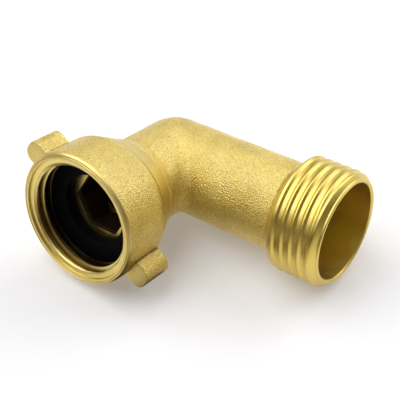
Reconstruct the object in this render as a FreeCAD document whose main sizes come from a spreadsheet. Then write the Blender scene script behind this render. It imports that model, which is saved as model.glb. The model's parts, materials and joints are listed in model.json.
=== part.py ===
"""Garden hose elbow: a cast brass elbow with a swivel nut at its inlet and a male hose thread
at its outlet. Millimetres and degrees.

The origin is the centre of the inlet thread's outer end, inside the nut's mouth. The inlet faces
-Y and the outlet +X. The elbow lies as it comes to rest on a table: on its round corner, the back
edge of the nut's band and the inner edge of the outlet thread, so that both arms rise a little
from the corner.
"""
import FreeCAD, Part
import os
import re
import Sketcher

SIZES = {
    # The casting, measured outwards from the point where the axes of its two arms cross.
    "tube_diameter": 21.2,
    "waterway_diameter": 16.8,
    "drill_point_length": 5.0,
    "inner_corner_radius": 3.0,
    "flare_land": 0.4,
    "collar_reach": 22.25,
    "collar_diameter": 29.0,
    "collar_turned_length": 5.0,
    "collar_turned_depth": 0.12,
    "shoulder_start": 33.0,
    "shoulder_length": 3.1,
    "outlet_length": 10.9,
    "outlet_thread_diameter": 26.98,
    "nose_diameter": 24.6,
    "nose_length": 0.6,
    "nose_bevel_length": 1.1,
    "outlet_bore_diameter": 22.6,
    "outlet_bore_depth": 11.5,
    "outlet_mouth_bevel": 0.25,
    "bush_thread_diameter": 17.6,
    "bush_thread_depth": 10.5,
    # The swivel nut, measured inwards from its mouth.
    "nut_diameter": 31.1,
    "nut_length": 12.8,
    "nut_rim_length": 0.5,
    "nut_rim_bevel": 0.3,
    "nut_taper_length": 1.9,
    "nut_back_diameter": 29.0,
    "inlet_bevel_diameter": 28.6,
    "inlet_thread_diameter": 24.4,
    "inlet_thread_depth": 5.5,
    "washer_pocket_diameter": 26.6,
    "lip_thickness": 2.4,
    "lug_span": 40.4,
    "lug_width": 5.65,
    "lug_length": 8.3,
    "lug_setback": 2.9,
    "lug_corner_radius": 2.0,
    "nut_turn": -33.0,
    # The retaining bush.
    "flange_diameter": 22.6,
    "flange_thickness": 1.45,
    "journal_diameter": 18.8,
    "bush_shank_length": 10.0,
    "hexagon_across_flats": 13.0,
    "hexagon_depth": 7.0,
    "bush_bore_diameter": 12.8,
    # The hose washer.
    "washer_thickness": 3.0,
    "washer_hole_diameter": 16.4,
    # Clearances between the pieces.
    "swivel_end_play": 0.15,
    "journal_clearance": 0.2,
    "washer_clearance": 0.2,
    "bush_thread_clearance": 0.05,
}

# Two places closer together than this are the same.
CLOSE = 0.01

document = FreeCAD.newDocument("hose_elbow")
sheet = document.addObject("Spreadsheet::Sheet", "Sizes")
for row, (name, value) in enumerate(SIZES.items(), start=1):
    sheet.set("A%d" % row, name.replace("_", " "))
    sheet.set("B%d" % row, str(value))
    sheet.setAlias("B%d" % row, name)
document.recompute()


def formula(text):
    """Write a formula in size names as one that reads the sheet's cells."""
    return re.sub(r"[a-z_]+", lambda word: "Sizes." + word[0] if word[0] in SIZES else word[0], text)


def number(text):
    """The value of a formula in size names."""
    value = sheet.evalExpression(formula(text))
    return float(getattr(value, "Value", value))


def bind(target, **sizes):
    """Bind properties of an object to formulas in size names."""
    for name, text in sizes.items():
        target.setExpression(name, formula(text))


def new_body(label, place):
    """A body for one piece of the object, placed by a formula."""
    body = document.addObject("PartDesign::Body", label)
    body.Label = label
    body.setExpression("Placement", formula(place))
    return body


def origin_feature(body, role):
    """A plane or axis of a body's own origin."""
    return next(feature for feature in body.Origin.OriginFeatures if feature.Role == role)


def new_sketch(body, name, plane, corners, height="0"):
    """A closed outline through corners, on an origin plane of a body or at a height above it.

    A corner is a pair of formulas, for its place along the sketch's two axes.
    """
    sketch = body.newObject("Sketcher::SketchObject", name)
    sketch.AttachmentSupport = [(origin_feature(body, plane), "")]
    sketch.MapMode = "FlatFace"
    sketch.setExpression("AttachmentOffset.Base.z", formula(height))
    points = [FreeCAD.Vector(number(across), number(along), 0) for across, along in corners]
    for start, end in zip(points, points[1:] + points[:1]):
        sketch.addGeometry(Part.LineSegment(start, end), False)
    for index in range(len(points)):
        following = (index + 1) % len(points)
        sketch.addConstraint(Sketcher.Constraint("Coincident", index, 2, following, 1))
    for index, corner in enumerate(corners):
        pin_corner(sketch, index, "DistanceX", corner[0])
        pin_corner(sketch, index, "DistanceY", corner[1])
    return sketch


def pin_corner(sketch, index, direction, text):
    """Hold the start of a line at a formula's distance from the sketch's origin."""
    if text == "0":
        axis = {"DistanceX": -2, "DistanceY": -1}[direction]
        sketch.addConstraint(Sketcher.Constraint("PointOnObject", index, 1, axis))
        return
    pin = sketch.addConstraint(Sketcher.Constraint(direction, -1, 1, index, 1, number(text)))
    sketch.setExpression("Constraints[%d]" % pin, formula(text))


def turn(body, kind, name, sketch, axis):
    """Turn a profile once around an axis of its own sketch, to add material or to cut it."""
    feature = body.newObject("PartDesign::" + kind, name)
    feature.Profile = sketch
    feature.ReferenceAxis = (sketch, [axis])
    feature.Angle = 360
    document.recompute()
    return feature


def round_edges(body, name, radius, picks):
    """Round those edges of the body for which picks(edge) holds."""
    base = body.Tip
    edges = [index for index, edge in enumerate(base.Shape.Edges, start=1) if picks(edge)]
    fillet = body.newObject("PartDesign::Fillet", name)
    fillet.Base = (base, ["Edge%d" % index for index in edges])
    bind(fillet, Radius=radius)
    document.recompute()
    return fillet


# How the elbow lies. Each arm rises from the corner, which lies on the table, until the near edge
# of the nut's band or of the outlet thread lies on the table too.
THREAD_START = "(shoulder_start + shoulder_length)"
BAND_END = "(collar_reach + swivel_end_play + nut_taper_length)"
BEVEL_DEPTH = "((inlet_bevel_diameter - inlet_thread_diameter) / 2)"


def rise(reach, diameter):
    """The slope of an arm that lies on the corner and on an edge of a diameter at a reach."""
    return "(acos(tube_diameter / 2 / hypot(%s; %s / 2)) - atan(2 * %s / %s))" % (
        reach, diameter, reach, diameter)


def on_inlet_axis(depth, turned):
    """A placement at a depth inside the nut's mouth, turned from facing along the Y axis."""
    along = "(%s - %s)" % (depth, BEVEL_DEPTH)
    slope = rise(BAND_END, "nut_diameter")
    return "placement(vector(0; %s * cos(%s); -%s * sin(%s)); rotation(vector(1; 0; 0); -%s) * %s)" % (
        along, slope, along, slope, slope, turned)


OUTLET_TURN = "rotation(vector(0; -1; 0); asin(sin(%s) / cos(%s)))" % (
    rise(THREAD_START, "outlet_thread_diameter"), rise(BAND_END, "nut_diameter"))
FACING_OUT = "rotation(vector(1; 0; 0); 90)"
COLLAR_DEPTH = "(nut_length + swivel_end_play)"

# The elbow casting. In its own frame its axes cross at the origin, the outlet arm runs along +X
# and the inlet arm along -Y.
elbow = new_body("elbow_body", on_inlet_axis("(%s + collar_reach)" % COLLAR_DEPTH, OUTLET_TURN))

# The outlet's length is the part beyond the shoulder: the thread and the nose.
OUTLET_END = "(%s + outlet_length)" % THREAD_START
outlet_profile = new_sketch(elbow, "outlet_profile", "XY_Plane", [
    ("0", "0"),
    (OUTLET_END, "0"),
    (OUTLET_END, "nose_diameter / 2"),
    (OUTLET_END + " - nose_length", "nose_diameter / 2"),
    (OUTLET_END + " - nose_length - nose_bevel_length", "outlet_thread_diameter / 2"),
    (THREAD_START, "outlet_thread_diameter / 2"),
    ("shoulder_start", "tube_diameter / 2"),
    ("0", "tube_diameter / 2"),
])
turn(elbow, "Revolution", "outlet_arm", outlet_profile, "H_Axis")

# The flare is cast as a cone that starts a little beyond the inner corner's rounding, and its last
# stretch is turned a little deeper.
FLARE_START = "(tube_diameter / 2 + inner_corner_radius + flare_land)"
FLARE_SLOPE = "((collar_diameter - tube_diameter) / 2 / (collar_reach - %s))" % FLARE_START
FLARE_TURNED_START = "(collar_reach - collar_turned_length)"
FLARE_RADIUS = "(tube_diameter / 2 + %s * (%s - %s))" % (FLARE_SLOPE, FLARE_TURNED_START, FLARE_START)
inlet_profile = new_sketch(elbow, "inlet_profile", "XY_Plane", [
    ("0", "0"),
    ("tube_diameter / 2", "0"),
    ("tube_diameter / 2", "-" + FLARE_START),
    (FLARE_RADIUS, "-" + FLARE_TURNED_START),
    (FLARE_RADIUS + " - collar_turned_depth", "-" + FLARE_TURNED_START),
    ("collar_diameter / 2", "-collar_reach"),
    ("0", "-collar_reach"),
])
turn(elbow, "Revolution", "inlet_arm", inlet_profile, "V_Axis")

outer_corner = elbow.newObject("PartDesign::AdditiveSphere", "outer_corner")
bind(outer_corner, Radius="tube_diameter / 2")
document.recompute()


def in_corner(edge):
    """Whether an edge is the sharp inside corner between the two arms."""
    middle = edge.CenterOfMass
    return middle.x > CLOSE and abs(middle.x + middle.y) < CLOSE


round_edges(elbow, "inner_corner", "inner_corner_radius", in_corner)

# The waterway is drilled from both ends, and each drill's point ends beyond the other bore. At the
# outlet it is bored wider as far as the shoulder, and at the inlet it is tapped for the bush.
BORE_BOTTOM = "(%s - outlet_bore_depth)" % OUTLET_END
outlet_waterway = new_sketch(elbow, "outlet_waterway_profile", "XY_Plane", [
    ("-drill_point_length", "0"),
    (OUTLET_END, "0"),
    (OUTLET_END, "outlet_bore_diameter / 2 + outlet_mouth_bevel"),
    (OUTLET_END + " - outlet_mouth_bevel", "outlet_bore_diameter / 2"),
    (BORE_BOTTOM, "outlet_bore_diameter / 2"),
    (BORE_BOTTOM + " - (outlet_bore_diameter - waterway_diameter) / 2", "waterway_diameter / 2"),
    ("0", "waterway_diameter / 2"),
])
turn(elbow, "Groove", "outlet_waterway", outlet_waterway, "H_Axis")

inlet_waterway = new_sketch(elbow, "inlet_waterway_profile", "XY_Plane", [
    ("0", "drill_point_length"),
    ("waterway_diameter / 2", "0"),
    ("waterway_diameter / 2", "-(collar_reach - bush_thread_depth)"),
    ("bush_thread_diameter / 2", "-(collar_reach - bush_thread_depth)"),
    ("bush_thread_diameter / 2", "-collar_reach"),
    ("0", "-collar_reach"),
])
turn(elbow, "Groove", "inlet_waterway", inlet_waterway, "V_Axis")

# The swivel nut. In its own frame its mouth is at the origin and faces +Z, and its lugs lie along
# the X axis. It can stand at any turn on the elbow.
nut = new_body(
    "swivel_nut",
    on_inlet_axis("0", "%s * %s * rotation(vector(0; 0; 1); nut_turn)" % (OUTLET_TURN, FACING_OUT)),
)
nut_profile = new_sketch(nut, "nut_profile", "XZ_Plane", [
    ("0", "0"),
    ("nut_diameter / 2 - nut_rim_bevel", "0"),
    ("nut_diameter / 2", "-nut_rim_length"),
    ("nut_diameter / 2", "-(nut_length - nut_taper_length)"),
    ("nut_back_diameter / 2", "-nut_length"),
    ("0", "-nut_length"),
])
turn(nut, "Revolution", "nut_blank", nut_profile, "V_Axis")

lug_outline = new_sketch(nut, "lug_outline", "XY_Plane", [
    ("0", "-lug_width / 2"),
    ("lug_span / 2", "-lug_width / 2"),
    ("lug_span / 2", "lug_width / 2"),
    ("0", "lug_width / 2"),
], height="-(lug_setback + lug_length)")
lug = nut.newObject("PartDesign::Pad", "lug")
lug.Profile = lug_outline
bind(lug, Length="lug_length")
document.recompute()

lugs = nut.newObject("PartDesign::PolarPattern", "lugs")
lugs.Originals = [lug]
lugs.Axis = (lug_outline, ["N_Axis"])
lugs.Angle = 360
lugs.Occurrences = 2
nut.Tip = lugs
document.recompute()


def at_lug_tip(edge):
    """Whether an edge is one of the four long corners at the tips of the lugs."""
    reach = number("lug_span / 2")
    at_tip = all(abs(abs(vertex.X) - reach) < CLOSE for vertex in edge.Vertexes)
    return at_tip and abs(edge.BoundBox.ZLength - number("lug_length")) < CLOSE


round_edges(nut, "lug_tips", "lug_corner_radius", at_lug_tip)

nut_inside = new_sketch(nut, "nut_inside_profile", "XZ_Plane", [
    ("0", "0"),
    ("inlet_bevel_diameter / 2", "0"),
    ("inlet_thread_diameter / 2", "-(inlet_bevel_diameter - inlet_thread_diameter) / 2"),
    ("inlet_thread_diameter / 2", "-inlet_thread_depth"),
    ("washer_pocket_diameter / 2", "-inlet_thread_depth"),
    ("washer_pocket_diameter / 2", "-(nut_length - lip_thickness)"),
    ("journal_diameter / 2 + journal_clearance", "-(nut_length - lip_thickness)"),
    ("journal_diameter / 2 + journal_clearance", "-nut_length"),
    ("0", "-nut_length"),
])
turn(nut, "Groove", "nut_inside", nut_inside, "V_Axis")

# The retaining bush. In its own frame the collar's end face, on which its shoulder is screwed
# down, is at the origin, and its flange is at +Z. The journal between them carries the nut's lip.
JOURNAL_LENGTH = "(lip_thickness + 2 * swivel_end_play)"
FLANGE_FACE = "(%s + flange_thickness)" % JOURNAL_LENGTH
bush = new_body(
    "retaining_bush",
    on_inlet_axis(COLLAR_DEPTH, "%s * %s" % (OUTLET_TURN, FACING_OUT)),
)
SHANK_RADIUS = "(bush_thread_diameter / 2 - bush_thread_clearance)"
bush_profile = new_sketch(bush, "bush_profile", "XZ_Plane", [
    ("0", "-bush_shank_length"),
    (SHANK_RADIUS, "-bush_shank_length"),
    (SHANK_RADIUS, "0"),
    ("journal_diameter / 2", "0"),
    ("journal_diameter / 2", JOURNAL_LENGTH),
    ("flange_diameter / 2", JOURNAL_LENGTH),
    ("flange_diameter / 2", FLANGE_FACE),
    ("0", FLANGE_FACE),
])
turn(bush, "Revolution", "bush_blank", bush_profile, "V_Axis")

bush_bore_profile = new_sketch(bush, "bush_bore_profile", "XZ_Plane", [
    ("0", "-bush_shank_length"),
    ("bush_bore_diameter / 2", "-bush_shank_length"),
    ("bush_bore_diameter / 2", FLANGE_FACE),
    ("0", FLANGE_FACE),
])
turn(bush, "Groove", "bush_bore", bush_bore_profile, "V_Axis")

HEXAGON_RADIUS = "(hexagon_across_flats / 2 / cos(30))"
hexagon_outline = new_sketch(bush, "hexagon_outline", "XY_Plane", [
    (HEXAGON_RADIUS, "0"),
    (HEXAGON_RADIUS + " / 2", "hexagon_across_flats / 2"),
    ("-" + HEXAGON_RADIUS + " / 2", "hexagon_across_flats / 2"),
    ("-" + HEXAGON_RADIUS, "0"),
    ("-" + HEXAGON_RADIUS + " / 2", "-hexagon_across_flats / 2"),
    (HEXAGON_RADIUS + " / 2", "-hexagon_across_flats / 2"),
], height=FLANGE_FACE)
hexagon = bush.newObject("PartDesign::Pocket", "hexagon")
hexagon.Profile = hexagon_outline
bind(hexagon, Length="hexagon_depth")
document.recompute()

# The hose washer, with its back on the bush's flange at the origin of its own frame.
washer = new_body(
    "rubber_washer",
    on_inlet_axis("(%s - %s)" % (COLLAR_DEPTH, FLANGE_FACE), FACING_OUT),
)
WASHER_RADIUS = "(washer_pocket_diameter / 2 - washer_clearance)"
washer_profile = new_sketch(washer, "washer_profile", "XZ_Plane", [
    ("washer_hole_diameter / 2", "0"),
    (WASHER_RADIUS, "0"),
    (WASHER_RADIUS, "washer_thickness"),
    ("washer_hole_diameter / 2", "washer_thickness"),
])
turn(washer, "Revolution", "washer_ring", washer_profile, "V_Axis")

# Every feature has to be sound before anything is written.
document.recompute()
for item in document.Objects:
    if "Invalid" in item.State or "Error" in item.State:
        raise RuntimeError("%s failed: %s" % (item.Name, item.State))
os.makedirs("parts", exist_ok=True)
for body in (elbow, nut, bush, washer):
    if body.Shape.isNull() or not body.Shape.isValid() or len(body.Shape.Solids) != 1:
        raise RuntimeError("%s is not one valid solid" % body.Label)
    body.Shape.exportStep("parts/%s.step" % body.Label)
    print(body.Label, round(body.Shape.Volume, 2), body.Shape.BoundBox)
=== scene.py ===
"""The looks of a garden hose elbow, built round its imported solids. Lengths are in millimetres until
a piece is put in its place in the frame, which is in metres."""
import json
import math

import bmesh
import bpy
import numpy as np
from mathutils import Matrix, Vector, noise


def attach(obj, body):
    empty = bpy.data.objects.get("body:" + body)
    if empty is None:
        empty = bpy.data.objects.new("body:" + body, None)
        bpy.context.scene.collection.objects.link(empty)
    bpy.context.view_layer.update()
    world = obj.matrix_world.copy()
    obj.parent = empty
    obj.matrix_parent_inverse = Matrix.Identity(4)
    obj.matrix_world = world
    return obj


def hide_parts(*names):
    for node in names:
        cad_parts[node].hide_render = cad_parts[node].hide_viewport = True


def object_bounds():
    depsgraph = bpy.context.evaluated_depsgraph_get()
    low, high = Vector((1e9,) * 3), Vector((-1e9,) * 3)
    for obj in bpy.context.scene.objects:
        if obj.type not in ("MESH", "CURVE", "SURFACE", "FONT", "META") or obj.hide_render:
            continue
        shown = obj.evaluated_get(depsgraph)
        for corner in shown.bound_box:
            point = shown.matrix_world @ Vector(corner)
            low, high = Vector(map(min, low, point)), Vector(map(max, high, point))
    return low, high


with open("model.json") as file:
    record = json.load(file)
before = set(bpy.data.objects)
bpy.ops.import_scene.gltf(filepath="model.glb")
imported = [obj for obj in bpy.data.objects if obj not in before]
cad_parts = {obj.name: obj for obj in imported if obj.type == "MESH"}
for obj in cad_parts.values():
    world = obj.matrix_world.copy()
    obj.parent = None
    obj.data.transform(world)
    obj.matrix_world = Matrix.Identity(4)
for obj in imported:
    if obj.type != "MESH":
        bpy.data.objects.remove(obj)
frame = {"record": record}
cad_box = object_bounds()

# The elbow casting. One piece of brass, cast in sand and blasted clean, so that its tube and its
# shoulder are grainy. Its collar, its hose thread and its bores are turned on a lathe and smooth.
MM = 0.001
SEGMENTS = 192
TUBE_RADIUS = 10.6
WATERWAY_RADIUS = 8.4
BEND_REACH = 13.6
INLET_DEPTH = 33.1

axes = {mount["name"]: Vector(mount["axis"]).normalized() for mount in frame["record"]["mounts"]}
crossing = axes["inlet"] * -INLET_DEPTH * MM


def in_frame(x_axis, y_axis, origin):
    """The matrix that takes a piece from its own millimetres to its place in the frame."""
    turned = Matrix((x_axis, y_axis, x_axis.cross(y_axis))).transposed().to_4x4()
    return Matrix.Translation(origin) @ turned @ Matrix.Scale(MM, 4)


# In the casting's own millimetres its axes cross at the origin, and the outlet faces +X and the
# inlet -Y. A turned part is made along +Z and laid along its arm.
CASTING = in_frame(axes["outlet"], -axes["inlet"], crossing)
ALONG_OUTLET = Matrix(((0, 0, 1, 0), (1, 0, 0, 0), (0, 1, 0, 0), (0, 0, 0, 1)))
ALONG_INLET = Matrix(((1, 0, 0, 0), (0, 0, -1, 0), (0, 1, 0, 0), (0, 0, 0, 1)))


def bent_wire(bm, points):
    """Joins a row of points by edges."""
    corners = [bm.verts.new(point) for point in points]
    for start, end in zip(corners, corners[1:]):
        bm.edges.new((start, end))
    return corners


def lathe(outline, lay=Matrix()):
    """Turns an outline of (height, radius, rounding) corners once round the Z axis."""
    bm = bmesh.new()
    corners = bent_wire(bm, [(radius, 0, height) for height, radius, rounding in outline])
    for corner, (height, radius, rounding) in zip(corners, outline):
        if rounding:
            bmesh.ops.bevel(bm, geom=[corner], offset=rounding, segments=4, profile=0.5,
                            affect="VERTICES", material=-1)
    bmesh.ops.spin(bm, geom=bm.verts[:] + bm.edges[:], cent=(0, 0, 0), axis=(0, 0, 1),
                   angle=math.tau, steps=SEGMENTS, use_merge=True)
    bmesh.ops.transform(bm, matrix=lay, verts=bm.verts)
    return bm


def points_of(geom):
    """The points among what an operator gives back."""
    return [item for item in geom if isinstance(item, bmesh.types.BMVert)]


def add(bm, other):
    """Adds the mesh of another bmesh to this one."""
    mesh = bpy.data.meshes.new("part")
    other.to_mesh(mesh)
    other.free()
    bm.from_mesh(mesh)
    bpy.data.meshes.remove(mesh)


def welded(bm, distance):
    """Joins the points that meet, and turns every face outwards."""
    bmesh.ops.remove_doubles(bm, verts=bm.verts, dist=distance)
    bmesh.ops.recalc_face_normals(bm, faces=bm.faces)


# The hose thread. Its crests are narrow flats, and its grooves have soft roots. The marks are the
# points across one pitch, closest at the crest's edge and along the flank.
THREAD_PITCH, CREST_RADIUS, ROOT_RADIUS = 2.209, 13.49, 13.1
HALF_PITCH, CREST_HALF, ROOT_HALF = THREAD_PITCH / 2, 0.16, 0.5
CREST_SOFTNESS, ROOT_SOFTNESS = 0.06, 0.4
THREAD_MARKS = [0, 0.1, 0.14, 0.17, 0.21, 0.27, 0.34, 0.41, 0.48, 0.55, 0.62, 0.71, 0.84, 0.97,
                HALF_PITCH]
THREAD_MARKS += [THREAD_PITCH - mark for mark in reversed(THREAD_MARKS[:-1])]


def wound_strip(turns, start):
    """A right-handed strip wound round the Z axis: one turn of the thread's marks, stacked."""
    bm = bmesh.new()
    bent_wire(bm, [(1, 0, start + mark) for mark in THREAD_MARKS])
    bmesh.ops.spin(bm, geom=bm.verts[:] + bm.edges[:], cent=(0, 0, 0), axis=(0, 0, 1),
                   dvec=(0, 0, THREAD_PITCH / SEGMENTS), angle=math.tau, steps=SEGMENTS)
    one_turn = bm.verts[:] + bm.edges[:] + bm.faces[:]
    for turn in range(1, turns):
        copy = bmesh.ops.duplicate(bm, geom=one_turn)["geom"]
        bmesh.ops.translate(bm, vec=(0, 0, THREAD_PITCH * turn), verts=points_of(copy))
    bmesh.ops.remove_doubles(bm, verts=bm.verts, dist=0.001)
    return bm


def lower(a, b, softness):
    """The lower of two values, with a soft corner where they cross."""
    return np.minimum(a, b) - np.maximum(softness - np.abs(a - b), 0) ** 2 / (4 * softness)


def ramp(value, start, end):
    """A smooth step from 0 at start to 1 at end."""
    t = np.clip((value - start) / (end - start), 0, 1)
    return t * t * (3 - 2 * t)


def cut_thread(bm, crest_at, low, high, radius_of):
    """Moves a wound strip out to its thread, and gathers what is past low and high on two rims."""
    where = np.array([vert.co for vert in bm.verts])
    angle, height = np.arctan2(where[:, 1], where[:, 0]), np.clip(where[:, 2], low, high)
    off_groove = (height - THREAD_PITCH * angle / math.tau - crest_at) % THREAD_PITCH - HALF_PITCH
    flank = HALF_PITCH - CREST_HALF - ROOT_HALF
    groove = lower((HALF_PITCH - CREST_HALF - np.abs(off_groove)) / flank, 1.0, ROOT_SOFTNESS)
    groove = -lower(-groove, 0.0, CREST_SOFTNESS)
    radius = radius_of(height, groove, height - off_groove)
    for vert, turn, reach, level in zip(bm.verts, angle, radius, height):
        vert.co = reach * math.cos(turn), reach * math.sin(turn), level
    bmesh.ops.remove_doubles(bm, verts=bm.verts, dist=0.0005)


# The outlet arm. The thread runs out on the cone of the tube's shoulder, and starts on the bevel of
# the nose. The bore behind the nose is wider than the waterway, and narrows to it in a cone. The
# long plain stretches have extra rings, so that the cast skin can wander.
SHOULDER_FROM, SHOULDER_TO, SHOULDER_ROUNDING = 33.1, 35.2, 0.6
TUBE_RINGS = np.linspace(BEND_REACH, SHOULDER_FROM - SHOULDER_ROUNDING - 0.2, 26)
THREAD_FROM, THREAD_TO = 34.3, 46.3
CREST_AT, STRIP_FROM, STRIP_TURNS = 1.75, 13, 8
GROOVE_NONE_AT, GROOVE_FULL_AT = (34.3, 46.1), (35.8, 45.2)
NOSE_FROM, NOSE_TO, NOSE_RADIUS, NOSE_ROUNDNESS = 45.3, 46.4, 12.34, 1.25
LIP_STEP, LIP_RADIUS, LIP_TO = 0.08, 12.24, 46.86
OUTLET_END, END_RADIUS = 47.0, 12.1
BORE_MOUTH_RADIUS, BORE_MOUTH_BEVEL = 11.62, 0.3
BORE_RADIUS, BORE_BOTTOM, BORE_CONE = 11.3, 35.5, 2.9


def shoulder_at(height):
    """The radius of the shoulder's cone."""
    climbed = (height - SHOULDER_FROM) / (SHOULDER_TO - SHOULDER_FROM)
    return TUBE_RADIUS + (CREST_RADIUS - TUBE_RADIUS) * climbed


def nose_at(height):
    """The radius of the nose's bevel, which is slightly round."""
    run = np.clip((height - NOSE_FROM) / (NOSE_TO - NOSE_FROM), 0, 1)
    return CREST_RADIUS - (CREST_RADIUS - NOSE_RADIUS) * run ** NOSE_ROUNDNESS


def male_radius(height, groove, groove_at):
    """The thread's radius, whose groove runs in at the shoulder and out before the nose."""
    for none_at, full_at in zip(GROOVE_NONE_AT, GROOVE_FULL_AT):
        groove = groove * ramp(groove_at, none_at, full_at)
    radius = CREST_RADIUS - (CREST_RADIUS - ROOT_RADIUS) * groove
    return np.minimum(radius, np.minimum(shoulder_at(height), nose_at(height)))


casting = wound_strip(STRIP_TURNS, CREST_AT + STRIP_FROM * THREAD_PITCH)
cut_thread(casting, CREST_AT, THREAD_FROM, THREAD_TO, male_radius)
add(casting, lathe([
    *[(height, TUBE_RADIUS, 0) for height in TUBE_RINGS],
    (SHOULDER_FROM, TUBE_RADIUS, SHOULDER_ROUNDING), (THREAD_FROM, shoulder_at(THREAD_FROM), 0)]))
add(casting, lathe([
    (THREAD_TO, nose_at(THREAD_TO), 0), (NOSE_TO, NOSE_RADIUS, 0.03),
    (NOSE_TO + LIP_STEP, LIP_RADIUS, 0.03), (LIP_TO, LIP_RADIUS, 0.04),
    (OUTLET_END, END_RADIUS, 0.05), (OUTLET_END, BORE_MOUTH_RADIUS, 0.06),
    (OUTLET_END - BORE_MOUTH_BEVEL, BORE_RADIUS, 0.06), (BORE_BOTTOM, BORE_RADIUS, 0.3),
    (BORE_BOTTOM - BORE_CONE, WATERWAY_RADIUS, 0.2), (BEND_REACH, WATERWAY_RADIUS, 0)]))
bmesh.ops.transform(casting, matrix=ALONG_OUTLET, verts=casting.verts)

# The inlet arm. The tube flares out as cast, and from there the collar is turned, at a slightly
# steeper cone, up to the flat that the nut runs on. The bush is screwed into the collar's socket.
FLARE_FROM, FLARE_TO, FLARE_RADIUS, FLARE_ROUNDING = 14.0, 17.15, 12.09, 0.39
COLLAR_TURNED_FROM, COLLAR_TURNED_RADIUS = 17.25, 12.02
COLLAR_REACH, COLLAR_RADIUS = 22.25, 14.5
FLARE_RINGS, COLLAR_RINGS = (15.4, 16.6), (19.0, 20.7)
SOCKET_RADIUS, SOCKET_BOTTOM = 8.8, 13.9


def rings_between(start, end, heights):
    """Plain corners at some heights on the straight line from one end of a cone to the other."""
    return [(height, np.interp(height, (start[0], end[0]), (start[1], end[1])), 0)
            for height in heights]


add(casting, lathe([
    (BEND_REACH, TUBE_RADIUS, 0), (FLARE_FROM, TUBE_RADIUS, FLARE_ROUNDING),
    *rings_between((FLARE_FROM, TUBE_RADIUS), (FLARE_TO, FLARE_RADIUS), FLARE_RINGS),
    (FLARE_TO, FLARE_RADIUS, 0.06), (COLLAR_TURNED_FROM, COLLAR_TURNED_RADIUS, 0.03),
    *rings_between((COLLAR_TURNED_FROM, COLLAR_TURNED_RADIUS), (COLLAR_REACH, COLLAR_RADIUS),
                   COLLAR_RINGS),
    (COLLAR_REACH, COLLAR_RADIUS, 0.15), (COLLAR_REACH, SOCKET_RADIUS, 0.2),
    (SOCKET_BOTTOM, SOCKET_RADIUS, 0), (BEND_REACH, WATERWAY_RADIUS, 0)], ALONG_INLET))

# The bend. Both rims of the inlet arm are spun to the outlet arm, and every point is then moved on
# to the casting's surface: two tubes that end in a ball, with a rolled rounding inside the corner.
CORNER_ROUNDING = 2.4
DRILL_POINT = 5.0
BEND_STEPS = 60
HALVINGS, LONGEST_RAY = 40, 30.0


def on_rim(vert):
    """Whether a point is on one of the inlet arm's two open rims."""
    return vert.is_boundary and abs(vert.co.y + BEND_REACH) < 0.001


pivot = Vector((BEND_REACH, -BEND_REACH, 0))
rims = [vert for vert in casting.verts if on_rim(vert)]
rims += [edge for edge in casting.edges if edge.is_boundary and all(map(on_rim, edge.verts))]
before = set(casting.verts)
bmesh.ops.spin(casting, geom=rims, cent=pivot, axis=(0, 0, 1), angle=-math.pi / 2,
               steps=BEND_STEPS)
bend = [vert for vert in casting.verts if vert not in before]


def in_outer_wall(vert):
    """Whether a point of the plain bend was spun from the tube, and not from the waterway."""
    out = vert.co - pivot
    off_middle = math.hypot(out.xy.length - BEND_REACH, out.z)
    return off_middle > (TUBE_RADIUS + WATERWAY_RADIUS) / 2


def outside_gap(x, y, z):
    """How far a point is outside the tubes and the corner's rounding, which is rolled where both
    tubes are near. The lean is how alike the two tubes' outward directions are at the point."""
    ball = np.sqrt(x * x + y * y + z * z)
    across_inlet, across_outlet = np.hypot(x, z), np.hypot(y, z)
    inlet_gap = np.where(y < 0, across_inlet, ball) - TUBE_RADIUS
    outlet_gap = np.where(x > 0, across_outlet, ball) - TUBE_RADIUS
    lean = z * z / (across_inlet * across_outlet + 1e-9)
    a, b = CORNER_ROUNDING - inlet_gap, CORNER_ROUNDING - outlet_gap
    rolled = CORNER_ROUNDING - np.sqrt(
        np.maximum(a * a + b * b - 2 * lean * a * b, 0) / np.maximum(1 - lean * lean, 1e-6))
    in_corner = (x > 0) & (y < 0) & (b > lean * a) & (a > lean * b) & (lean < 0.999)
    return np.where(in_corner, rolled, np.minimum(inlet_gap, outlet_gap))


def inside_gap(x, y, z):
    """How far a point is outside the two drilled holes and their drill points."""
    inlet_hole = WATERWAY_RADIUS * np.clip(1 - y / DRILL_POINT, 0, 1)
    outlet_hole = WATERWAY_RADIUS * np.clip(1 + x / DRILL_POINT, 0, 1)
    return np.minimum(np.hypot(x, z) - inlet_hole, np.hypot(y, z) - outlet_hole)


def move_on_to(surface_gap, wall):
    """Moves each point of a wall along its own ray, from the arms' axes out to the surface."""
    where = np.array([vert.co for vert in wall]) - np.array(pivot)
    turn = np.arctan2(where[:, 1], -where[:, 0])
    roll = np.arctan2(where[:, 2], np.hypot(where[:, 0], where[:, 1]) - BEND_REACH)
    middle = BEND_REACH / np.maximum(np.cos(turn), np.sin(turn))

    def along_ray(reach):
        away = middle + reach * np.cos(roll)
        return (BEND_REACH - away * np.cos(turn), away * np.sin(turn) - BEND_REACH,
                reach * np.sin(roll))

    low, high = np.zeros(len(wall)), np.full(len(wall), LONGEST_RAY)
    for halving in range(HALVINGS):
        trial = (low + high) / 2
        outside = surface_gap(*along_ray(trial)) > 0
        low, high = np.where(outside, low, trial), np.where(outside, trial, high)
    for vert, point in zip(wall, zip(*along_ray(low))):
        vert.co = point


outer_wall = [vert for vert in bend if in_outer_wall(vert)]
inner_wall = [vert for vert in bend if not in_outer_wall(vert)]
move_on_to(outside_gap, outer_wall)
move_on_to(inside_gap, inner_wall)
welded(casting, distance=0.004)


def on_arm(at):
    """Whether a point is on the outlet arm, how far along its arm, and how far off its axis."""
    on_outlet = at.x > -at.y
    along, across = (at.x, at.y) if on_outlet else (-at.y, at.x)
    return on_outlet, along, math.hypot(across, at.z)


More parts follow.
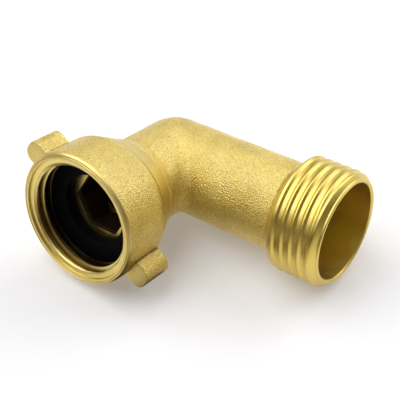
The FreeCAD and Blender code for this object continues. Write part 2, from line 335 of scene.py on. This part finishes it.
# Sand moulds are never quite true, so the cast skin wanders by a few hundredths. Each wave has its
# steps per millimetre and its depth.
SKIN_WAVES = ((0.16, 0.07), (0.5, 0.025))
SKIN_OUTSIDE, SKIN_ENDS_SHORT = TUBE_RADIUS - 0.7, 0.3
for vert in casting.verts:
    on_outlet, along, off_axis = on_arm(vert.co)
    skin_to = (SHOULDER_FROM if on_outlet else COLLAR_TURNED_FROM) - SKIN_ENDS_SHORT
    if off_axis > SKIN_OUTSIDE and along < skin_to:
        vert.co += vert.normal * sum(noise.noise(vert.co * per_mm) * depth
                                     for per_mm, depth in SKIN_WAVES)


def finished(bm, name, body, node, finishes, finish_of, place):
    """Makes the object of a piece, lays it in the frame and stands it for its CAD node."""
    for face in bm.faces:
        face.smooth = True
        face.material_index = finishes.index(finish_of(face.calc_center_median()))
    bmesh.ops.transform(bm, matrix=place, verts=bm.verts)
    mesh = bpy.data.meshes.new(name)
    bm.to_mesh(mesh)
    bm.free()
    mesh.set_sharp_from_angle(angle=math.radians(50))
    for finish in finishes:
        mesh.materials.append(finish)
    piece = bpy.data.objects.new(name, mesh)
    bpy.context.scene.collection.objects.link(piece)
    flats = piece.modifiers.new("flats_stay_flat", "WEIGHTED_NORMAL")
    flats.keep_sharp = True
    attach(piece, body)
    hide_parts(node)
    return piece


def feed(tree, made, values):
    """Sets a node's inputs, or links them where the value is another node's output."""
    for name, value in values.items():
        if isinstance(value, bpy.types.NodeSocket):
            tree.links.new(value, made.inputs[name])
        else:
            made.inputs[name].default_value = value


def add_node(tree, kind, values=None, **settings):
    """Adds a node with its settings and its inputs."""
    made = tree.nodes.new(kind)
    for name, value in settings.items():
        setattr(made, name, value)
    feed(tree, made, values or {})
    return made


def reckon(tree, operation, *values):
    """The result of a sum on values that change over the surface."""
    return add_node(tree, "ShaderNodeMath", dict(enumerate(values)), operation=operation).outputs[0]


def graded(tree, value, start=0.0, end=1.0, low=0.0, high=1.0):
    """A value that goes from low where another is at start to high where it is at end."""
    return add_node(tree, "ShaderNodeMapRange", {
        "Value": value, "From Min": start, "From Max": end, "To Min": low, "To Max": high
    }).outputs[0]


def blend(tree, share, under, over):
    """One colour laid over another, for a share that changes over the surface."""
    return add_node(tree, "ShaderNodeMix", {0: share, 6: under, 7: over},
                    data_type="RGBA").outputs[2]


def round_axis(tree, point):
    """How far a point is off the Z axis, and the point's three parts."""
    parts = add_node(tree, "ShaderNodeSeparateXYZ", {0: point}).outputs
    flat = add_node(tree, "ShaderNodeCombineXYZ", {0: parts[0], 1: parts[1]}).outputs[0]
    off_axis = add_node(tree, "ShaderNodeVectorMath", {0: flat}, operation="LENGTH")
    return off_axis.outputs["Value"], parts


def group(name, inputs, outputs):
    """Starts a shader node group: its tree, what it is asked with, and the node that answers."""
    tree = bpy.data.node_groups.new(name, "ShaderNodeTree")
    for label, kind, value in inputs:
        socket = tree.interface.new_socket(label, in_out="INPUT", socket_type=kind)
        if value is not None:
            socket.default_value = value
    for label, kind in outputs:
        tree.interface.new_socket(label, in_out="OUTPUT", socket_type=kind)
    return tree, tree.nodes.new("NodeGroupInput").outputs, tree.nodes.new("NodeGroupOutput")


# The grain that grit blasting leaves: fine dents of uneven depth, a third of a millimetre apart.
grain, asked, given = group(
    "blasted_grain",
    [("Vector", "NodeSocketVector", None), ("Per metre", "NodeSocketFloat", 3000.0)],
    [("Height", "NodeSocketFloat"), ("Pits", "NodeSocketFloat")])
fine = add_node(grain, "ShaderNodeTexNoise", {
    "Vector": asked["Vector"], "Scale": asked["Per metre"], "Detail": 3.0, "Roughness": 0.65})
craters = add_node(grain, "ShaderNodeTexVoronoi", {
    "Vector": asked["Vector"], "Scale": asked["Per metre"]}, feature="F1")
CRATER_SHARE = 0.45
feed(grain, given, {
    "Height": reckon(grain, "MULTIPLY_ADD", craters.outputs["Distance"], CRATER_SHARE,
                     fine.outputs["Fac"]),
    "Pits": graded(grain, fine.outputs["Fac"], start=0.54, end=0.34)})

# The marks of a lathe tool: rings of uneven depth round the arm's axis, on faces as on sides. The
# vector is in millimetres, with its Z along that axis.
marks, asked, given = group(
    "tool_marks", [("Vector", "NodeSocketVector", None), ("Per mm", "NodeSocketFloat", 7.0)],
    [("Height", "NodeSocketFloat"), ("Streaks", "NodeSocketFloat")])
OUTWARD_SHARE = 0.83
from_axis, (_, _, height) = round_axis(marks, asked["Vector"])
travel = reckon(marks, "MULTIPLY_ADD", from_axis, OUTWARD_SHARE, height)
rings = add_node(marks, "ShaderNodeTexNoise", {
    "W": travel, "Scale": asked["Per mm"], "Detail": 2.0}, noise_dimensions="1D")
slow = add_node(marks, "ShaderNodeTexNoise", {
    "Vector": asked["Vector"], "Scale": 0.35, "Detail": 3.0})
feed(marks, given, {"Height": rings.outputs["Fac"], "Streaks": slow.outputs["Fac"]})

# The tone of brass, which drifts between yellow and brown as it dulls. Its pits are painted darker
# brown, as painted shade inside the dents.
tone, asked, given = group(
    "brass_tone",
    [("Vector", "NodeSocketVector", None), ("Bright", "NodeSocketColor", (0.96, 0.755, 0.21, 1)),
     ("Dull", "NodeSocketColor", (0.66, 0.465, 0.08, 1)), ("Pits", "NodeSocketFloat", 0.0)],
    [("Color", "NodeSocketColor")])
PIT_SHADE_BROWN, PIT_SHADE_SHARE, DULL_SHARE = (0.31, 0.195, 0.045, 1), 0.52, 0.6
drift = add_node(tone, "ShaderNodeTexNoise", {
    "Vector": asked["Vector"], "Scale": 130.0, "Detail": 4.0, "Roughness": 0.6}).outputs["Fac"]
dulled = blend(tone, graded(tone, drift, start=0.35, end=0.7, high=DULL_SHARE),
               asked["Bright"], asked["Dull"])
# The pits are painted darker brown: painted shade inside the dents.
pit_shade = reckon(tone, "MULTIPLY", asked["Pits"], PIT_SHADE_SHARE)
feed(tone, given, {"Color": blend(tone, pit_shade, dulled, PIT_SHADE_BROWN)})


def inner_nodes(made):
    """A material's tree and shader, and the point of the piece in the frame."""
    tree = made.node_tree
    place = add_node(tree, "ShaderNodeTexCoord").outputs["Object"]
    return tree, tree.nodes["Principled BSDF"], place


def material(name, colour, metallic, coat):
    """Starts a material, with its shader's plain values set on its own sockets."""
    made = bpy.data.materials.new(name)
    made.use_nodes = True
    made.diffuse_color = colour
    tree, shader, place = inner_nodes(made)
    feed(tree, shader, {"Metallic": metallic, "Coat Weight": coat, "Coat Roughness": 0.35})
    return made, tree, shader, place


def laid_back(tree, place, laid):
    """Takes a point of the frame back to the millimetres that a part was made in."""
    spot, turn, scale = laid.inverted().decompose()
    return add_node(tree, "ShaderNodeMapping", {
        "Vector": place, "Location": spot, "Rotation": turn.to_euler(), "Scale": scale}).outputs[0]


def relief(tree, height, strength, depth):
    """The normal of a surface with small heights on it, up to a depth in metres."""
    return add_node(tree, "ShaderNodeBump", {
        "Height": height, "Strength": strength, "Distance": depth}).outputs[0]


def blasted_brass(name):
    """Brass as it was cast and blasted: grainy, rougher in its pits, and painted darker in them as
    shade.
    """
    made, tree, shader, place = material(name, (0.78, 0.61, 0.2, 1), metallic=1.0, coat=0.35)
    dents = add_node(tree, "ShaderNodeGroup", {"Vector": place}, node_tree=grain).outputs
    colour = add_node(tree, "ShaderNodeGroup", {"Vector": place, "Pits": dents["Pits"]},
                      node_tree=tone).outputs[0]
    feed(tree, shader, {
        "Base Color": colour,
        "Roughness": graded(tree, dents["Pits"], low=0.36, high=0.5),
        "Normal": relief(tree, dents["Height"], strength=1.0, depth=0.00025)})
    return made


def turned_brass(name, laid, roughness=(0.32, 0.42), bump=0.3, bright=(0.87, 0.7, 0.225, 1)):
    """Turned brass, whose tool marks run round the axis that the part was turned on."""
    made, tree, shader, place = material(name, bright, metallic=1.0, coat=0.3)
    tooled = add_node(tree, "ShaderNodeGroup", {"Vector": laid_back(tree, place, laid)},
                      node_tree=marks).outputs
    colour = add_node(tree, "ShaderNodeGroup", {"Vector": place, "Bright": bright},
                      node_tree=tone).outputs[0]
    feed(tree, shader, {
        "Base Color": colour,
        "Roughness": graded(tree, tooled["Streaks"], 0.35, 0.65, *roughness),
        "Normal": relief(tree, tooled["Height"], strength=bump, depth=0.00004)})
    return made


# Inside, where nobody cleans it, the brass keeps the brown stain of the heat it was cast at. The same
# dark brown is also painted shade down the holes.
stained_and_shaded, tree, shader, place = material("stained_and_shaded_brass", (0.13, 0.07, 0.035, 1), metallic=1.0,
                                        coat=0.1)
blotches = add_node(tree, "ShaderNodeTexNoise", {
    "Vector": place, "Scale": 400.0, "Detail": 4.0}).outputs["Fac"]
feed(tree, shader, {
    "Base Color": blend(tree, blotches, (0.07, 0.033, 0.02, 1), (0.2, 0.11, 0.05, 1)),
    "Roughness": graded(tree, blotches, low=0.4, high=0.7)})

cast = blasted_brass("cast_brass_blasted")
turned_collar = turned_brass("turned_brass_inlet", CASTING @ ALONG_INLET, roughness=(0.38, 0.45),
                             bright=(0.75, 0.6, 0.17, 1))
turned_thread = turned_brass("turned_brass_outlet", CASTING @ ALONG_OUTLET, roughness=(0.36, 0.44),
                             bump=0.5, bright=(0.77, 0.6, 0.14, 1))
STAINED_AND_SHADED_WITHIN = WATERWAY_RADIUS + 0.6
BORE_TURNED_FROM, BORE_TURNED_WITHIN = 33.0, BORE_RADIUS + 0.05
THREAD_TURNED_FROM = SHOULDER_TO - 0.1


def casting_finish(at):
    """The collar, thread, nose and outlet's bore are turned; the waterway has stain and painted
    shade.
    """
    on_outlet, along, off_axis = on_arm(at)
    from_middle = off_axis if along > 0 else at.length
    if from_middle < STAINED_AND_SHADED_WITHIN:
        return stained_and_shaded
    if not on_outlet:
        return turned_collar if along > COLLAR_TURNED_FROM else cast
    in_bore = along > BORE_TURNED_FROM and from_middle < BORE_TURNED_WITHIN
    return turned_thread if in_bore or along > THREAD_TURNED_FROM else cast


elbow = finished(casting, "elbow_casting", "elbow", "elbow_body",
                 [cast, turned_collar, turned_thread, stained_and_shaded], casting_finish, CASTING)

# The swivel nut. A brass casting with two finger lugs, blasted like the elbow, then bored, threaded
# and faced on a lathe. It turns freely round the bush and carries the washer.
MOUTH_PAST_MOUNT = 2.1
NUT_RADIUS, NUT_LENGTH = 15.55, 12.8
FEMALE_CREST, FEMALE_ROOT = 12.2, 13.65
FEMALE_CREST_AT, FEMALE_STRIP_FROM, FEMALE_STRIP_TURNS = 0.25, -4, 6
THREAD_END, THREAD_FULL_AT = -5.5, -1.3
RUN_OUT_SLOPE, RUN_OUT_STEP = 0.8, 0.05
POCKET_RADIUS, POCKET_BOTTOM = 13.3, -10.4
EYE_RADIUS, BACK_RADIUS, BACK_BEVEL = 9.6, 14.5, 1.9
BAND_RINGS, BAND_END = (-8.0, -5.5, -3.0), -0.62
RIM_FROM, RIM_TO, RIM_RADIUS, FACE_RADIUS = -0.55, -0.45, NUT_RADIUS - 0.08, 15.2
FACE_GROOVE, FACE_GROOVE_DEPTH = (14.97, 14.89, 14.8, 14.7), 0.13
STEP_RADIUS, STEP_BEVEL, LEDGE_RADIUS, MOUTH_DEPTH = 14.05, 0.1, 13.1, -0.6


def round_inlet(origin):
    """The place of a part that is turned along +Z round the inlet's axis."""
    return in_frame(axes["outlet"], axes["inlet"].cross(axes["outlet"]), origin)


def female_radius(height, groove, _):
    """The nut's thread, which runs out into the washer's pocket and is bevelled at the mouth."""
    groove = groove * ramp(height, MOUTH_DEPTH, THREAD_FULL_AT)
    radius = FEMALE_CREST + (FEMALE_ROOT - FEMALE_CREST) * groove
    run_out = POCKET_RADIUS - RUN_OUT_STEP + RUN_OUT_SLOPE * (height - THREAD_END)
    radius = np.minimum(radius, run_out)
    return np.maximum(radius, LEDGE_RADIUS + height - MOUTH_DEPTH)


NUT = round_inlet(axes["inlet"] * MOUTH_PAST_MOUNT * MM)
nut_bm = wound_strip(FEMALE_STRIP_TURNS, FEMALE_CREST_AT + FEMALE_STRIP_FROM * THREAD_PITCH)
cut_thread(nut_bm, FEMALE_CREST_AT, THREAD_END, MOUTH_DEPTH, female_radius)
thread_foot = [edge for edge in nut_bm.edges if edge.is_boundary and all(
    vert.co.z < THREAD_END + 0.001 for vert in edge.verts)]
for vert in points_of(bmesh.ops.extrude_edge_only(nut_bm, edges=thread_foot)["geom"]):
    vert.co.xy = vert.co.xy.normalized() * POCKET_RADIUS
add(nut_bm, lathe([
    (THREAD_END, POCKET_RADIUS, 0), (POCKET_BOTTOM, POCKET_RADIUS, 0),
    (POCKET_BOTTOM, EYE_RADIUS, 0.1), (-NUT_LENGTH, EYE_RADIUS, 0.1),
    (-NUT_LENGTH, BACK_RADIUS, 0.12), (BACK_BEVEL - NUT_LENGTH, NUT_RADIUS, 0.5),
    *[(height, NUT_RADIUS, 0) for height in BAND_RINGS],
    (BAND_END, NUT_RADIUS, 0.05), (RIM_FROM, RIM_RADIUS, 0.03), (RIM_TO, RIM_RADIUS, 0.04),
    (0, FACE_RADIUS, 0.14), (0, FACE_GROOVE[0], 0.03), (-FACE_GROOVE_DEPTH, FACE_GROOVE[1], 0.03),
    (-FACE_GROOVE_DEPTH, FACE_GROOVE[2], 0.03), (0, FACE_GROOVE[3], 0.03),
    (0, STEP_RADIUS + STEP_BEVEL, 0.05), (MOUTH_DEPTH, STEP_RADIUS, 0.02),
    (MOUTH_DEPTH, LEDGE_RADIUS, 0)]))
welded(nut_bm, distance=0.002)

# The two finger lugs. They are cast in one with the nut's band, opposite each other, with rounded
# corners, and their front faces are machined. NUT_TURN is how far round the nut happens to stand.
NUT_TURN = math.radians(-33)
LUG_TIP, LUG_ROOT, LUG_HALF = 20.15, 14.4, 2.825
LUG_FRONT, LUG_BACK = -3.4, -10.7
LUG_CORNER, LUG_EDGE = 2.4, 0.18
for side in (0, math.pi):
    lug = bmesh.new()
    corners = [lug.verts.new((out, across, LUG_FRONT)) for out, across in (
        (LUG_ROOT, -LUG_HALF), (LUG_TIP, -LUG_HALF), (LUG_TIP, LUG_HALF), (LUG_ROOT, LUG_HALF))]
    lug.faces.new(corners)
    bmesh.ops.bevel(lug, geom=corners[1:3], offset=LUG_CORNER, segments=12, profile=0.5,
                    affect="VERTICES", material=-1)
    back = bmesh.ops.extrude_face_region(lug, geom=lug.faces[:])["geom"]
    bmesh.ops.translate(lug, vec=(0, 0, LUG_BACK - LUG_FRONT), verts=points_of(back))
    ends = [edge for edge in lug.edges if abs(edge.verts[0].co.z - edge.verts[1].co.z) < 0.01
            and max(vert.co.x for vert in edge.verts) > LUG_ROOT + 0.1]
    bmesh.ops.bevel(lug, geom=ends, offset=LUG_EDGE, segments=3, profile=0.5, affect="EDGES",
                    material=-1)
    bmesh.ops.recalc_face_normals(lug, faces=lug.faces)
    bmesh.ops.rotate(lug, cent=(0, 0, 0), matrix=Matrix.Rotation(NUT_TURN + side, 3, "Z"),
                     verts=lug.verts)
    add(nut_bm, lug)


def paint_shade(tree, share, colour):
    """Lays a painted shade colour over the brass of a material."""
    base = tree.nodes["Principled BSDF"].inputs["Base Color"]
    tree.links.new(blend(tree, share, base.links[0].from_socket, colour), base)


# The crease at each lug's foot is painted dark brown, as painted shade where the lug meets the band.
CREASE_SHADE_BROWN, CREASE_SHADE_SHARE, CREASE_WANDER = (0.12, 0.07, 0.02, 1), 0.8, -0.7
cast_nut = blasted_brass("cast_brass_nut")
tree, shader, place = inner_nodes(cast_nut)
wander = add_node(tree, "ShaderNodeTexNoise", {
    "Vector": place, "Scale": 900.0, "Detail": 3.0}).outputs["Fac"]
spot = laid_back(tree, place, NUT @ Matrix.Rotation(NUT_TURN, 4, "Z"))
from_axis, (_, across, height) = round_axis(tree, spot)
off_side = reckon(tree, "SUBTRACT", reckon(tree, "ABSOLUTE", across), LUG_HALF)
off_band = reckon(tree, "SUBTRACT", from_axis, NUT_RADIUS)
off_crease = reckon(tree, "ADD", reckon(tree, "ABSOLUTE", off_side), off_band)
off_crease = reckon(tree, "MULTIPLY_ADD", wander, CREASE_WANDER, off_crease)
crease_shade = graded(tree, off_crease, start=0.12, end=-0.2, high=CREASE_SHADE_SHARE)
behind_front = graded(tree, height, start=LUG_FRONT + 0.5, end=LUG_FRONT + 0.1)
paint_shade(tree, reckon(tree, "MULTIPLY", crease_shade, behind_front), CREASE_SHADE_BROWN)

turned_nut = turned_brass("turned_brass_nut", NUT, roughness=(0.4, 0.48),
                          bright=(0.78, 0.63, 0.2, 1))

# Down the nut's thread the brass is painted dark brown as painted shade: in its grooves past the
# ledge, and all over deep in the nut.
DEEP_SHADE_BROWN, DEEP_SHADE_SHARE, GROOVE_SHADE_SHARE = (0.05, 0.025, 0.01, 1), 0.96, 0.7
mouth = turned_brass("turned_brass_mouth", NUT)
tree, shader, place = inner_nodes(mouth)
from_axis, (_, _, height) = round_axis(tree, laid_back(tree, place, NUT))
groove_shade = graded(tree, from_axis, start=12.4, end=13.1, high=GROOVE_SHADE_SHARE)
below_ledge = graded(tree, height, start=-1.0, end=-1.4)
deep_shade = graded(tree, height, start=-3.2, end=-3.6, high=DEEP_SHADE_SHARE)
paint_shade(tree, reckon(tree, "MAXIMUM", reckon(tree, "MULTIPLY", groove_shade, below_ledge), deep_shade),
     DEEP_SHADE_BROWN)
BLASTED_OUTSIDE, BLASTED_TO = NUT_RADIUS - 0.15, (BAND_END + RIM_FROM) / 2
LUGS_OUTSIDE, LUGS_FACED_FROM = NUT_RADIUS + 0.05, LUG_FRONT - 0.02


def nut_finish(at):
    """The band and the lugs are blasted, and the rest and the lugs' fronts machined."""
    out = at.xy.length
    if out < STEP_RADIUS and at.z < MOUTH_DEPTH:
        return mouth
    if out > LUGS_OUTSIDE and at.z > LUGS_FACED_FROM:
        return turned_nut
    return cast_nut if out > BLASTED_OUTSIDE and at.z < BLASTED_TO else turned_nut


nut = finished(nut_bm, "swivel_nut_piece", "nut", "swivel_nut", [cast_nut, turned_nut, mouth],
               nut_finish, NUT)

# The retaining bush. Turned from brass bar, with a hexagon broached in its flange for the key that
# screws it into the casting. Its journal carries the nut's lip.
SHANK_END, SHANK_RADIUS, BUSH_BORE = -10, 8.75, 6.4
JOURNAL_LENGTH, JOURNAL_RADIUS = 2.7, 9.4
FLANGE_FACE, FLANGE_RADIUS = 4.15, 11.3
HEX_FLAT, HEX_CORNER, HEX_DEPTH, HEX_SIDES = 6.5, 7.4, 7, 6
HEX_MOUTH_CORNER, HEX_MOUTH_DEPTH, HEX_RING, HEX_FOOT = 7.65, 0.6, 7.9, 0.3
STAIN_AND_SHADE_DEPTH = 1.1
BUSH = round_inlet(crossing + axes["inlet"] * COLLAR_REACH * MM)
bush_bm = lathe([
    (SHANK_END, BUSH_BORE, 0.2), (SHANK_END, SHANK_RADIUS, 0.3), (0, SHANK_RADIUS, 0),
    (0, JOURNAL_RADIUS, 0), (JOURNAL_LENGTH, JOURNAL_RADIUS, 0.1),
    (JOURNAL_LENGTH, FLANGE_RADIUS, 0.15), (FLANGE_FACE, FLANGE_RADIUS, 0.3),
    (FLANGE_FACE, HEX_RING, 0), (FLANGE_FACE - 0.01, HEX_MOUTH_CORNER, 0),
    (FLANGE_FACE - HEX_MOUTH_DEPTH, HEX_CORNER, 0), (FLANGE_FACE - STAIN_AND_SHADE_DEPTH, HEX_CORNER, 0),
    (FLANGE_FACE - HEX_DEPTH, HEX_CORNER, 0), (FLANGE_FACE - HEX_DEPTH - HEX_FOOT, BUSH_BORE, 0),
    (SHANK_END, BUSH_BORE, 0)])

# The hexagon. The round wall of its hole is drawn in to six flats, and stays round at its corners.
for vert in bush_bm.verts:
    if (FLANGE_FACE - HEX_DEPTH - 0.1 < vert.co.z < FLANGE_FACE + 0.001
            and vert.co.xy.length < HEX_MOUTH_CORNER + 0.05):
        off_corner = math.atan2(vert.co.y, vert.co.x) % (math.tau / HEX_SIDES)
        flat_at = HEX_FLAT / math.cos(off_corner - math.pi / HEX_SIDES)
        vert.co.xy = vert.co.xy.normalized() * min(flat_at, vert.co.xy.length)
welded(bush_bm, distance=0.001)
turned_bush = turned_brass("turned_brass_bush", BUSH, roughness=(0.3, 0.4))


def bush_finish(at):
    """The bush is turned, and painted dark down its hexagon and its bore, as painted shade, like the
    waterway.
    """
    down_the_hole = at.xy.length < HEX_RING + 0.1 and at.z < FLANGE_FACE - STAIN_AND_SHADE_DEPTH
    return stained_and_shaded if down_the_hole else turned_bush


bush = finished(bush_bm, "retaining_bush_piece", "elbow", "retaining_bush",
                [turned_bush, stained_and_shaded], bush_finish, BUSH)

# The hose washer. Moulded black rubber, square in section with slightly rounded edges, lying on the
# bush's flange inside the nut.
WASHER_BORE, WASHER_RADIUS, WASHER_THICKNESS, WASHER_ROUNDING = 8.2, 13.1, 3, 0.25
WASHER = round_inlet(crossing + axes["inlet"] * (COLLAR_REACH + FLANGE_FACE) * MM)
washer_bm = lathe([
    (WASHER_THICKNESS / 2, WASHER_BORE, 0), (0, WASHER_BORE, WASHER_ROUNDING),
    (0, WASHER_RADIUS, WASHER_ROUNDING), (WASHER_THICKNESS, WASHER_RADIUS, WASHER_ROUNDING),
    (WASHER_THICKNESS, WASHER_BORE, WASHER_ROUNDING), (WASHER_THICKNESS / 2, WASHER_BORE, 0)])
welded(washer_bm, distance=0.001)
rubber, tree, shader, place = material("black_rubber", (0.02, 0.02, 0.02, 1), metallic=0.0,
                                       coat=0.0)
speck = add_node(tree, "ShaderNodeTexNoise", {
    "Vector": place, "Scale": 3000.0, "Detail": 3.0}).outputs["Fac"]
feed(tree, shader, {
    "Base Color": blend(tree, speck, (0.0012, 0.0012, 0.0013, 1), (0.004, 0.004, 0.0043, 1)),
    "Specular IOR Level": 0.05,
    "Roughness": graded(tree, speck, low=0.5, high=0.75),
    "Normal": relief(tree, speck, strength=0.2, depth=0.00005)})
washer = finished(washer_bm, "hose_washer", "nut", "rubber_washer", [rubber], lambda at: rubber,
                  WASHER)

# The table, and the lights of a small photographic studio, in metres: a wide soft box above and in
# front, one behind, and a warm, dim room. A dark card round the front of the table and a dark sheet
# beside the elbow, seen only by reflections, give the brass its dark bands.
TABLE_TOP, TABLE_HALF, TABLE_LIFT = cad_box[0].z, 1.5, 0.22


def stage_piece(bm, name, colour):
    """Makes an object of the studio in a matt paint, which isn't part of the elbow."""
    mesh = bpy.data.meshes.new(name)
    bm.to_mesh(mesh)
    bm.free()
    made = bpy.data.objects.new(name, mesh)
    bpy.context.scene.collection.objects.link(made)
    paint = bpy.data.materials.new(name + "_paint")
    paint.use_nodes = True
    mesh.materials.append(paint)
    shader = paint.node_tree.nodes["Principled BSDF"]
    feed(paint.node_tree, shader, {
        "Base Color": colour, "Roughness": 0.9, "Specular IOR Level": 0.0})
    return made, paint.node_tree, shader


table = bmesh.new()
bmesh.ops.create_grid(table, x_segments=1, y_segments=1, size=TABLE_HALF)
bmesh.ops.translate(table, vec=(0, 0, TABLE_TOP), verts=table.verts)
_, tree, shader = stage_piece(table, "table", (0.75, 0.73, 0.665, 1))
rays = add_node(tree, "ShaderNodeLightPath").outputs
seen = reckon(tree, "ADD", rays["Is Camera Ray"], rays["Is Glossy Ray"])
seen = reckon(tree, "ADD", seen, rays["Is Transmission Ray"])
feed(tree, shader, {"Emission Color": (1, 1, 1, 1),
                    "Emission Strength": reckon(tree, "MULTIPLY", seen, TABLE_LIFT)})

CARD_REACH, CARD_HEIGHT = 0.11, 0.075
CARD_FROM, CARD_SWEEP = math.radians(-165), math.radians(150)
SHEET_SIZE, SHEET_CENTRE, SHEET_RISE = (0.026, 0.101), (0.0235, -0.0415), 0.0005
card = bmesh.new()
edge_of_card = bent_wire(card, [
    (CARD_REACH, 0, TABLE_TOP), (CARD_REACH, 0, TABLE_TOP + CARD_HEIGHT)])
bmesh.ops.rotate(card, cent=(0, 0, 0), matrix=Matrix.Rotation(CARD_FROM, 3, "Z"),
                 verts=edge_of_card)
bmesh.ops.spin(card, geom=card.verts[:] + card.edges[:], cent=(0, 0, 0), axis=(0, 0, 1),
               angle=CARD_SWEEP, steps=24)
sheet = bmesh.ops.create_grid(card, x_segments=1, y_segments=1, size=0.5)["verts"]
bmesh.ops.scale(card, vec=(*SHEET_SIZE, 1), verts=sheet)
bmesh.ops.translate(card, vec=(*SHEET_CENTRE, TABLE_TOP + SHEET_RISE), verts=sheet)
dark_card, _, _ = stage_piece(card, "dark_card", (0.07, 0.035, 0.008, 1))
dark_card.visible_camera = dark_card.visible_diffuse = dark_card.visible_shadow = False

LIT_SPOT = Vector((0.012, 0.02, 0))
LAMP_COLOUR = (0.94, 1.0, 1.2)


def soft_box(name, azimuth, elevation, distance, width, height, radiance):
    """A rectangular light that faces the elbow from a direction in degrees."""
    turn, rise = math.radians(azimuth), math.radians(elevation)
    towards = Vector((math.cos(turn) * math.cos(rise), math.sin(turn) * math.cos(rise),
                      math.sin(rise)))
    data = bpy.data.lights.new(name, "AREA")
    data.shape, data.size, data.size_y = "RECTANGLE", width, height
    data.energy = radiance * math.pi * width * height
    data.color = LAMP_COLOUR
    lamp = bpy.data.objects.new(name, data)
    lamp.location = LIT_SPOT + towards * distance
    lamp.rotation_euler = (-towards).to_track_quat("-Z", "Y").to_euler()
    bpy.context.scene.collection.objects.link(lamp)


soft_box("front_box", azimuth=-152, elevation=60, distance=0.55, width=0.78, height=0.62,
         radiance=2.5)
soft_box("back_box", azimuth=76, elevation=38, distance=0.5, width=0.55, height=0.45,
         radiance=2.4)
room = bpy.data.worlds.new("room")
bpy.context.scene.world = room
room.use_nodes = True
feed(room.node_tree, room.node_tree.nodes["Background"], {
    "Color": (1.0, 0.78, 0.5, 1), "Strength": 0.19})
bpy.context.scene.view_settings.view_transform = "Standard"

# The camera, where the photograph was taken from: its place in the casting's millimetres, and which
# way its right side and its back face.
CAMERA_AT = (120.1, -160.8, 112.5)
CAMERA_RIGHT, CAMERA_BACK = (0.8003, 0.5974, 0.0516), (0.488, -0.6988, 0.5231)
lens = bpy.data.cameras.new("camera")
lens.lens, lens.sensor_width = 85.8, 36.0
lens.clip_start = 0.01
camera = bpy.data.objects.new("camera", lens)
bpy.context.scene.collection.objects.link(camera)
casting_axes = CASTING.to_3x3().normalized()
back = (casting_axes @ Vector(CAMERA_BACK)).normalized()
up = back.cross((casting_axes @ Vector(CAMERA_RIGHT)).normalized()).normalized()
camera.matrix_world = Matrix.Translation(CASTING @ Vector(CAMERA_AT)) @ Matrix(
    (up.cross(back), up, back)).transposed().to_4x4()
bpy.context.scene.camera = camera
